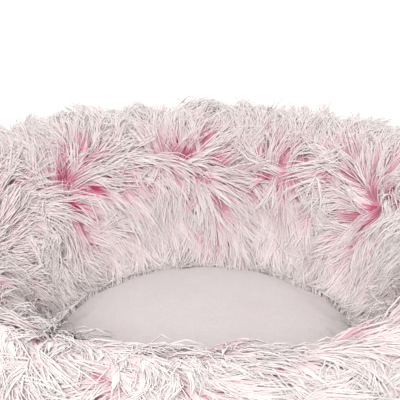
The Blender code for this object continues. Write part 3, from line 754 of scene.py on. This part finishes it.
# plain weave: warp and weft threads that pass over each other in turn
plainWeave, build, given, put = group(
    "plainWeave", (("Flat", "NodeSocketVector"), ("Pitch", "NodeSocketFloat")),
    (("Height", "NodeSocketFloat"), ("Over", "NodeSocketFloat")))
apart = build.add("ShaderNodeSeparateXYZ", [given.outputs["Flat"]])
u, v = (build.math("DIVIDE", apart.outputs[axis], given.outputs["Pitch"]) for axis in ("X", "Y"))
warp = build.math("ABSOLUTE", build.math("SINE", build.math("MULTIPLY", u, math.pi)))
weft = build.math("ABSOLUTE", build.math("SINE", build.math("MULTIPLY", v, math.pi)))
over = build.math("PINGPONG", build.math("ADD", build.math("FLOOR", u), build.math("FLOOR", v)), 1.0)
warpHeight = build.math("MULTIPLY", warp, build.math("MULTIPLY_ADD", weft, 0.45, 0.55))
weftHeight = build.math("MULTIPLY", weft, build.math("MULTIPLY_ADD", warp, 0.45, 0.55))
upper = build.math("MULTIPLY", over, warpHeight)
lower = build.math("MULTIPLY", build.math("SUBTRACT", 1.0, over), weftHeight)
build.give(put.inputs["Height"], build.math("ADD", upper, lower))
build.give(put.inputs["Over"], over)


def clothMaterial(name, colour, deepColour, pitch, depth, roughness, sheen, radius=None, stretch=1.0):
    # a woven cloth: its threads, painted shade in the dips between them, and a slow change of tone over it
    made, build, shader = newMaterial(name)
    place = build.add("ShaderNodeTexCoord").outputs["Object"]
    flat = place
    if radius is not None:
        about = build.add("ShaderNodeGroup", node_tree=roundAbout)
        flat = build.fill(about, {"Place": place, "Radius": radius})["Flat"]
    if stretch != 1.0:
        flat = build.add("ShaderNodeVectorMath", [flat, (stretch, 1.0, 1.0)], operation="MULTIPLY").outputs[0]
    weave = build.fill(build.add("ShaderNodeGroup", node_tree=plainWeave), {"Flat": flat, "Pitch": pitch})
    # painted shade: the colour turns deeper where the threads dip and paler on their tops
    tone = build.math("MULTIPLY_ADD", weave["Height"], -0.55, 0.62)
    tone = build.math("ADD", tone, build.math("MULTIPLY_ADD", build.noise(place, 45.0, 3.0), 0.55, -0.27))
    tone = build.math("ADD", tone, build.math("MULTIPLY", weave["Over"], 0.10))
    threads = build.math("MULTIPLY_ADD", build.noise(place, 900.0), 0.3, weave["Height"])
    build.fill(shader, {
        "Base Color": build.blend(tone, srgb(*colour), srgb(*deepColour)),
        "Roughness": build.math("MULTIPLY_ADD", build.noise(place, 300.0), 0.16, roughness - 0.08),
        "Sheen Weight": sheen, "Sheen Roughness": 0.45, "Normal": build.bump(0.7, depth, threads),
    })
    return made


def plushMaterial():
    # short plush: a fine nap, brushed lighter and darker in soft patches
    made, build, shader = newMaterial("shortPlush")
    place = build.add("ShaderNodeTexCoord").outputs["Object"]
    drawn = build.add("ShaderNodeVectorMath", [place, (1.0, 0.45, 1.0)], operation="MULTIPLY").outputs[0]
    nap = build.noise(drawn, 620.0, 3.0)
    brushed = build.noise(place, 26.0, 3.0)
    tone = build.math("ADD", build.math("MULTIPLY", nap, 0.55), build.math("MULTIPLY", brushed, 0.75))
    tone = build.math("SUBTRACT", tone, 0.30)
    build.fill(shader, {
        "Base Color": build.blend(tone, srgb(242, 235, 235), srgb(231, 215, 218)),
        "Roughness": build.math("MULTIPLY_ADD", nap, 0.10, 0.82),
        "Specular IOR Level": 0.2, "Sheen Weight": 0.25, "Sheen Roughness": 0.5,
        "Normal": build.bump(0.5, 0.0011, build.math("MULTIPLY_ADD", build.noise(place, 90.0), 0.9, nap)),
    })
    return made


def mottled(name, colour, deepColour, scale, depth, roughness, metallic=0.0):
    # a fine uneven surface: fibre wadding, moulded plastic or painted metal, by its values
    made, build, shader = newMaterial(name)
    place = build.add("ShaderNodeTexCoord").outputs["Object"]
    fine, slow = build.noise(place, scale, 3.0), build.noise(place, scale / 14, 2.0)
    tone = build.math("ADD", build.math("MULTIPLY", fine, 0.6), build.math("MULTIPLY_ADD", slow, 1.0, -0.35))
    build.fill(shader, {
        "Base Color": build.blend(tone, srgb(*colour), srgb(*deepColour)),
        "Roughness": build.math("MULTIPLY_ADD", fine, 0.16, roughness - 0.08),
        "Metallic": metallic, "Normal": build.bump(0.4, depth, fine),
    })
    return made


base = {"radius": 0.264, "cloth": 0.0011, "bottom": 0.0006, "steps": 160, "bandCloth": 0.0010, "pucker": 0.0012,
        "dotSpacing": 0.0185, "dotRadius": 0.0026, "dotHeight": 0.0012, "dotReach": 0.252,
        "pipingRadius": 0.2665, "pipingThick": 0.0022, "pipingSides": 12}
well = {"radius": 0.1457, "low": 0.0110, "high": 0.0120, "paddingLow": 0.0023, "paddingHigh": 0.0107, "steps": 120}
coverZip = {"radius": 0.2635, "middle": 0.01615, "low": 0.0023, "high": 0.0300, "tape": 0.0102}
cushionZip = {"radius": 0.1170, "middle": 0.02615, "low": 0.0173, "high": 0.0350, "tape": 0.0062}
zipArc = (math.radians(33.75), math.radians(146.25))

plush = plushMaterial()
backing = clothMaterial("pileBacking", (236, 172, 190), (226, 150, 172), 0.0016, 0.0004, 0.92, 0.1)
oxford = clothMaterial("oxfordWeave", (206, 198, 201), (178, 168, 172), 0.0012, 0.0003, 0.72, 0.1)
trimColours = (219, 203, 208), (196, 176, 183)
tapeColours = (222, 206, 212), (194, 172, 180)
bandCloth = clothMaterial("bandCloth", *trimColours, 0.0009, 0.0002, 0.8, 0.2, radius=0.264)
waistCloth = clothMaterial("waistCloth", *trimColours, 0.0009, 0.0002, 0.8, 0.2, radius=0.117)
floorCloth = clothMaterial("wellCloth", (236, 226, 229), (214, 199, 204), 0.0010, 0.0003, 0.85, 0.25)
tapeCloth = clothMaterial("zipTapeWeave", *tapeColours, 0.0007, 0.0002, 0.78, 0.1, radius=0.2635, stretch=0.5)
slimTapeCloth = clothMaterial("slimTapeWeave", *tapeColours, 0.0007, 0.0002, 0.78, 0.1, radius=0.117, stretch=0.5)
wadding = mottled("fibreWadding", (245, 244, 242), (228, 226, 223), 240.0, 0.0015, 0.95)
coilPlastic = mottled("coilPlastic", (224, 210, 215), (206, 188, 195), 900.0, 0.00005, 0.38)
dotRubber = mottled("dotRubber", (238, 234, 235), (222, 217, 219), 700.0, 0.00008, 0.5)
zipMetal = mottled("satinMetal", (214, 213, 215), (186, 185, 188), 520.0, 0.00006, 0.32, metallic=1.0)
print("materials made")


# rim: the bolster that carries the pile
skin = [tuple(point) for point in section[::2]]
skin += [(0.176, 0.0050), (0.213, 0.0045), (0.240, 0.0080)]
shape = spun(skin, 160, True)
for vert in shape.verts:
    away = math.hypot(vert.co.x, vert.co.y)
    if vert.co.z > fur["innerHem"][1] - 0.0003 or not 0.150 < away < 0.262:      # the skin, but not its foot
        distance = along[np.argmin(np.hypot(section[:, 0] - away, section[:, 1] - vert.co.z))]
        vert.co = onSkin(np.array([math.atan2(vert.co.y, vert.co.x)]), np.array([distance]))[0][0]
bolster = finished("rimBolster", shape, backing, "bed", "fur", "fur_cover", "rim_liner", "rim_fill")
print("bolster made")


# cushion: a crowned plush form, blown up as cloth from a slightly smaller shape
def puffed(made, sizes):
    # remeshed evenly, blown up with its underside held, each point's movement capped, then smoothed once
    remesh = made.modifiers.new("evenMesh", "REMESH")
    remesh.mode, remesh.voxel_size = "VOXEL", sizes["voxel"]
    even = bpy.data.meshes.new_from_object(made.evaluated_get(bpy.context.evaluated_depsgraph_get()))
    made.modifiers.clear()
    made.data = even
    before = np.array([vert.co[:] for vert in even.vertices])
    held = made.vertex_groups.new(name="held")
    held.add([int(at) for at in np.nonzero(before[:, 2] < sizes["seam"] + sizes["voxel"])[0]], 1.0, "REPLACE")
    cloth = made.modifiers.new("puffed", "CLOTH")
    cloth.settings.use_pressure = True
    cloth.settings.uniform_pressure_force = 4.0
    cloth.settings.effector_weights.gravity = 0.0
    cloth.settings.vertex_group_mass = "held"
    cloth.settings.shrink_min = sizes["slack"]
    cloth.settings.bending_stiffness = 0.4
    cloth.settings.quality = 6
    cloth.point_cache.frame_end = sizes["frames"]
    scene = bpy.context.scene
    for frame in range(1, sizes["frames"] + 1):
        scene.frame_set(frame)
    result = made.evaluated_get(bpy.context.evaluated_depsgraph_get()).data
    moved = np.array([vert.co[:] for vert in result.vertices]) - before
    made.modifiers.clear()
    scene.frame_set(1)
    distance = np.linalg.norm(moved, axis=1, keepdims=True)
    places = before + moved * np.minimum(1, sizes["cap"] / np.maximum(distance, 1e-9))
    even.vertices.foreach_set("co", places.astype(np.float32).ravel())
    smooth = made.modifiers.new("finer", "SUBSURF")
    smooth.levels = smooth.render_levels = 1
    finer = bpy.data.meshes.new_from_object(made.evaluated_get(bpy.context.evaluated_depsgraph_get()))
    made.modifiers.clear()
    made.vertex_groups.clear()
    made.data = finer
    finer.shade_smooth()
    if not finer.materials:
        finer.materials.append(plush)
    print("cushion puffed: moved", round(float(distance.max()), 4), "tall", round(float(places[:, 2].max()), 4))


cushion = {
    "widest": 0.0553, "radius": 0.1268, "crown": 0.033, "fullness": 2.4, "seam": 0.0353,
    "side": ((0.1258, 0.0490), (0.1236, 0.0425), (0.1212, 0.0376), (0.1194, 0.0353), (0.1176, 0.0340),
             (0.1135, 0.0322)),
    "inside": 0.1122, "foot": 0.0148,           # below its seam the stuffing goes on behind the band and the zip
    "start": 0.985, "voxel": 0.0045, "slack": -0.02, "frames": 20, "cap": 0.006, "steps": 120,
    "bandRadius": 0.1175, "bandCloth": 0.0010, "pucker": 0.0006,
}
points = [(0.0, cushion["widest"] + cushion["crown"])]
for at in range(1, 25):
    turn, full = math.pi / 2 * (1 - at / 24), 2 / cushion["fullness"]
    radius = cushion["radius"] * math.cos(turn) ** full
    points.append((radius, cushion["widest"] + cushion["crown"] * math.sin(turn) ** full))
inside, foot = cushion["inside"], cushion["foot"]
points += [*cushion["side"], (inside, 0.0290), (inside, foot + 0.001), (0.1090, foot), (0.06, foot), (0.0, foot)]
cushionTop = finished("cushionTop", spun([(r * cushion["start"], z) for r, z in points], cushion["steps"], False),
                      plush, "cushion", "plush", "cushion_top", "cushion_liner", "cushion_fill")
puffed(cushionTop, cushion)
print("cushion made")

underside = [(0.0, 0.0123), (0.1080, 0.0123), (0.1130, 0.0128), (0.1160, 0.0141), (0.1173, 0.0170),
             (0.1163, 0.0170), (0.1150, 0.0146), (0.1125, 0.0137), (0.1080, 0.0133), (0.0, 0.0133)]
cushionUnderside = finished("cushionUnderside", spun(underside, cushion["steps"], False), waistCloth, "cushion",
                            "trim_cloth", "cushion_underside")

shape = strip(cushion["bandRadius"], cushionZip["low"], cushionZip["high"], zipArc[1], zipArc[0] + math.tau,
              cushion["bandCloth"], cushion["pucker"], 40)
cushionBand = finished("cushionBand", shape, waistCloth, "cushion", "trim_cloth", "cushion_side_band")


# base: grip cloth with its dots, side band, piping, padding and the well's floor
def plate(radius, low, high):
    return [(0.0, low), (radius, low), (radius, high), (0.0, high)]


disc = plate(base["radius"], base["bottom"], base["bottom"] + base["cloth"])
baseCloth = finished("baseCloth", spun(disc, base["steps"], False), oxford, "bed", "base_oxford", "base_cloth")

dot = bmesh.new()
bmesh.ops.create_uvsphere(dot, u_segments=10, v_segments=6, radius=base["dotRadius"])
for vert in dot.verts:
    vert.co.z = vert.co.z * base["dotHeight"] / base["dotRadius"] / 2 + base["dotHeight"] / 2
spots = []
row = 0
while (height := -0.250 + row * base["dotSpacing"] * 0.866) < 0.251:      # rows of a triangular grid
    for column in range(-15, 16):
        across = (column + 0.5 * (row % 2)) * base["dotSpacing"]
        if math.hypot(across, height) < base["dotReach"]:
            spots.append((np.eye(3), np.array([across, height, 0.0])))
    row += 1
copies("gripDots", dot, spots, dotRubber, "bed", "base_oxford", "base_cloth")

shape = strip(base["radius"], coverZip["low"], coverZip["high"], zipArc[1], zipArc[0] + math.tau,
              base["bandCloth"], base["pucker"], 50)
coverBand = finished("coverBand", shape, bandCloth, "bed", "trim_cloth", "cover_side_band")

piping = []
for at in range(base["pipingSides"]):
    turn, thick = math.tau * at / base["pipingSides"], base["pipingThick"]
    piping.append((base["pipingRadius"] + thick * math.cos(turn), thick + thick * math.sin(turn)))
finished("basePiping", spun(piping, 240, True), bandCloth, "bed", "trim_cloth", "base_piping")

wide, low, high = well["radius"], well["paddingLow"], well["paddingHigh"]
pad = [(0.0, low), (wide - 0.004, low), (wide - 0.001, low + 0.002), (wide, (low + high) / 2),
       (wide - 0.001, high - 0.002), (wide - 0.004, high), (0.0, high)]
basePadding = finished("basePadding", spun(pad, well["steps"], False), wadding, "bed", "fibre", "base_padding")

disc = plate(well["radius"], well["low"], well["high"])
wellFloorCloth = finished("wellFloorCloth", spun(disc, well["steps"], False), floorCloth, "bed", "lining",
                          "well_floor_cloth")
print("base made")


# zips: woven tapes and coils of teeth that mesh
teeth = {"pitch": 0.0019, "margin": 0.014, "half": (0.00115, 0.00062, 0.00185), "flare": 0.35, "apart": 0.0013}


def zipMade(prefix, sizes, cloth, body):
    start, end = zipArc
    long = (end - start) * sizes["radius"]
    outside = sizes["radius"] + 0.0005
    # both tapes are one piece, because each alone is narrower than a sheet may be
    tapes = strip(outside, sizes["high"] - sizes["tape"], sizes["high"], start, end, 0.0010, 0.0002, 60, 6)
    lower = bpy.data.meshes.new("lowerTape")
    other = strip(outside, sizes["low"], sizes["low"] + sizes["tape"], start, end, 0.0010, 0.0002, 70, 6)
    other.to_mesh(lower)
    other.free()
    tapes.from_mesh(lower)
    bpy.data.meshes.remove(lower)
    made = finished(f"{prefix}ZipTapes", tapes, cloth, body, "zip_tape",
                    f"{prefix}_zip_tape_upper", f"{prefix}_zip_tape_lower")
    many = int((long - 2 * teeth["margin"]) / teeth["pitch"])
    across, thick, tall = teeth["half"]
    for side, sign in (("Upper", 1), ("Lower", -1)):
        tooth = bmesh.new()
        bmesh.ops.create_uvsphere(tooth, u_segments=8, v_segments=5, radius=1.0)
        for vert in tooth.verts:
            flare = 1 + teeth["flare"] * sign * -vert.co.z
            vert.co = Vector((vert.co.x * across, vert.co.y * thick * flare, vert.co.z * tall))
        places = []
        for at in range(many):
            turn = start + (teeth["margin"] + (at + 0.5 * (sign > 0)) * teeth["pitch"]) / sizes["radius"]
            height = sizes["middle"] + sign * teeth["apart"]
            shift = np.array([sizes["radius"] * math.cos(turn), sizes["radius"] * math.sin(turn), height])
            places.append((turnedAbout(turn), shift))
        copies(f"{prefix}ZipTeeth{side}", tooth, places, coilPlastic, body, "zip_coil",
               f"{prefix}_zip_coil_{side.lower()}")


zipMade("cover", coverZip, tapeCloth, "bed")
zipMade("cushion", cushionZip, slimTapeCloth, "cushion")
for name, node in nodes.items():
    if "_zip_top_stop" in name or "_zip_bottom_stop" in name or name.endswith(("_zip_slider", "_zip_pull")):
        for at in range(len(node.data.materials)):
            node.material_slots[at].material = zipMetal
print("zips made")
